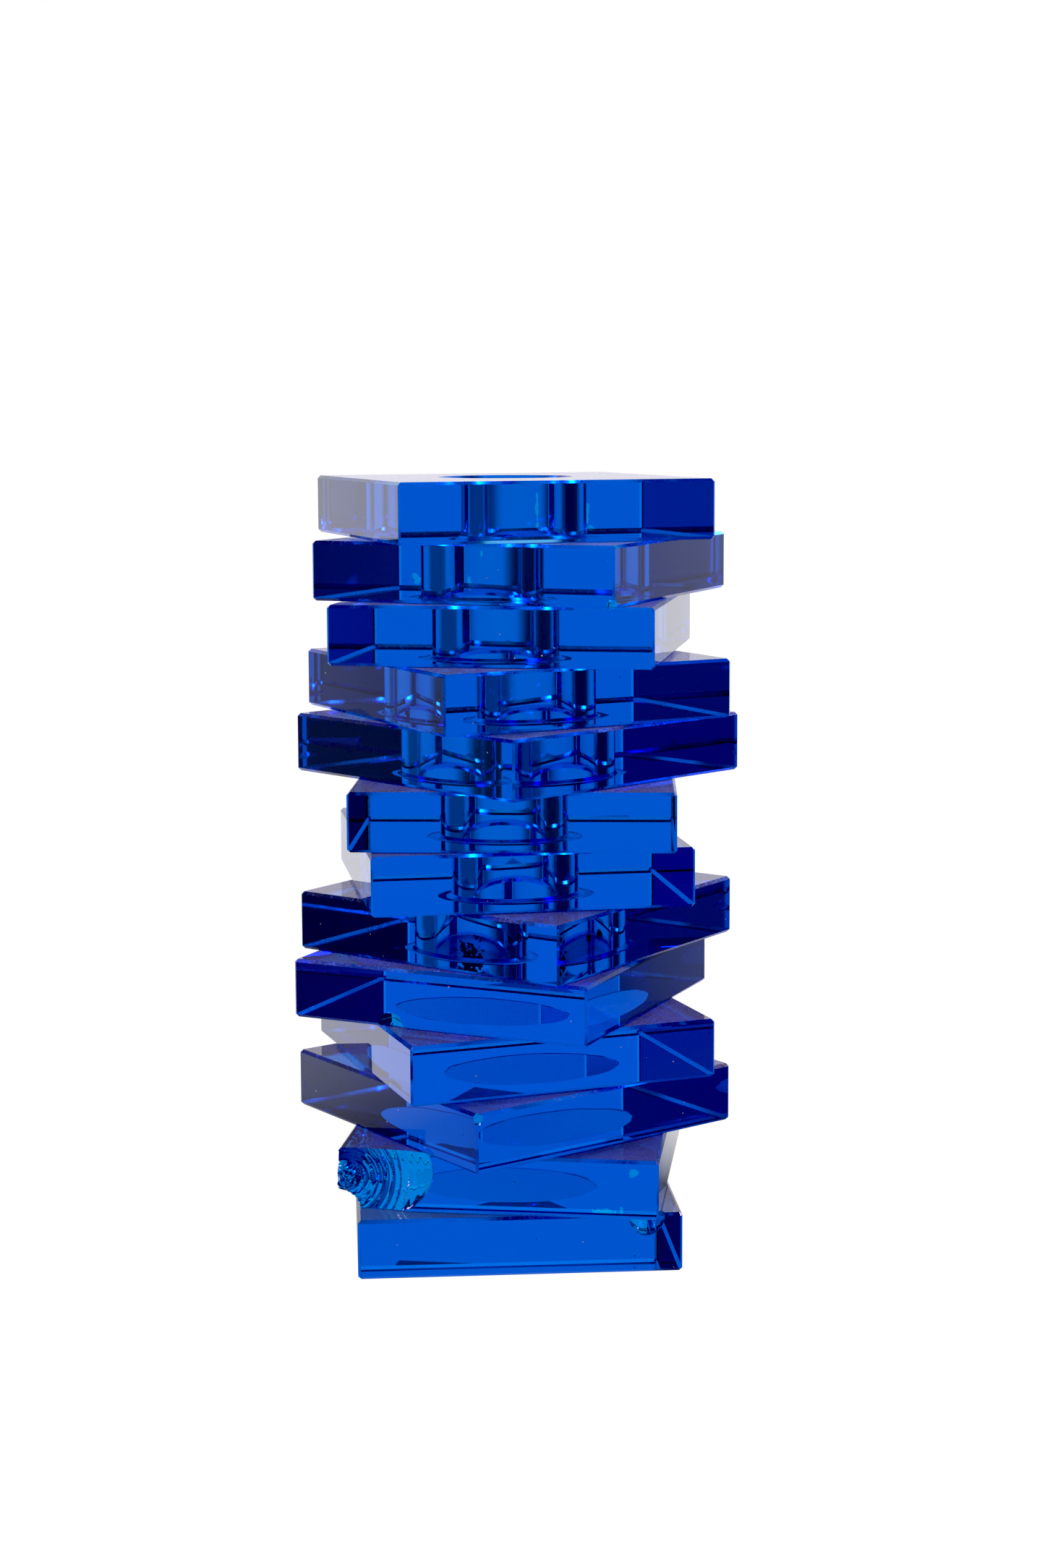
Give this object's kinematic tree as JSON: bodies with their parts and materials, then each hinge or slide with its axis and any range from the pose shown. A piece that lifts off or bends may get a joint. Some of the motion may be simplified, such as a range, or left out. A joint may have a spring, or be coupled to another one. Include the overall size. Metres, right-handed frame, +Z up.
{
  "type": "glass candlestick",
  "caption": "Candlestick of square cobalt-blue glass slabs cemented in an uneven twisted stack, bored down the middle to hold a dinner candle.",
  "frame": {"origin": "on the plane the candlestick stands on, in the middle of the box round the stack", "axes": "+Z up along the stack and the candle well; -Y towards the front, +X to the right seen from the front"},
  "size_m": [0.0767, 0.0777, 0.1316],
  "materials": {
    "cobalt_glass": "polished",
    "clear_cement": "clear, with fine bubbles"
  },
  "bodies": {
    "root": {"base_slab": "cobalt_glass", "chipped_slab": "cobalt_glass", "lower_solid_slab": "cobalt_glass", "upper_solid_slab": "cobalt_glass", "well_floor_slab": "cobalt_glass", "bored_slab_1": "cobalt_glass", "bored_slab_2": "cobalt_glass", "bored_slab_3": "cobalt_glass", "bored_slab_4": "cobalt_glass", "bored_slab_5": "cobalt_glass", "bored_slab_6": "cobalt_glass", "bored_slab_7": "cobalt_glass", "top_slab": "cobalt_glass", "cement_disc_1": "clear_cement", "cement_disc_2": "clear_cement", "cement_disc_3": "clear_cement", "cement_disc_4": "clear_cement", "cement_ring_1": "clear_cement", "cement_ring_2": "clear_cement", "cement_ring_3": "clear_cement", "cement_ring_4": "clear_cement", "cement_ring_5": "clear_cement", "cement_ring_6": "clear_cement", "cement_ring_7": "clear_cement", "cement_ring_8": "clear_cement"}
  },
  "joints": []
}
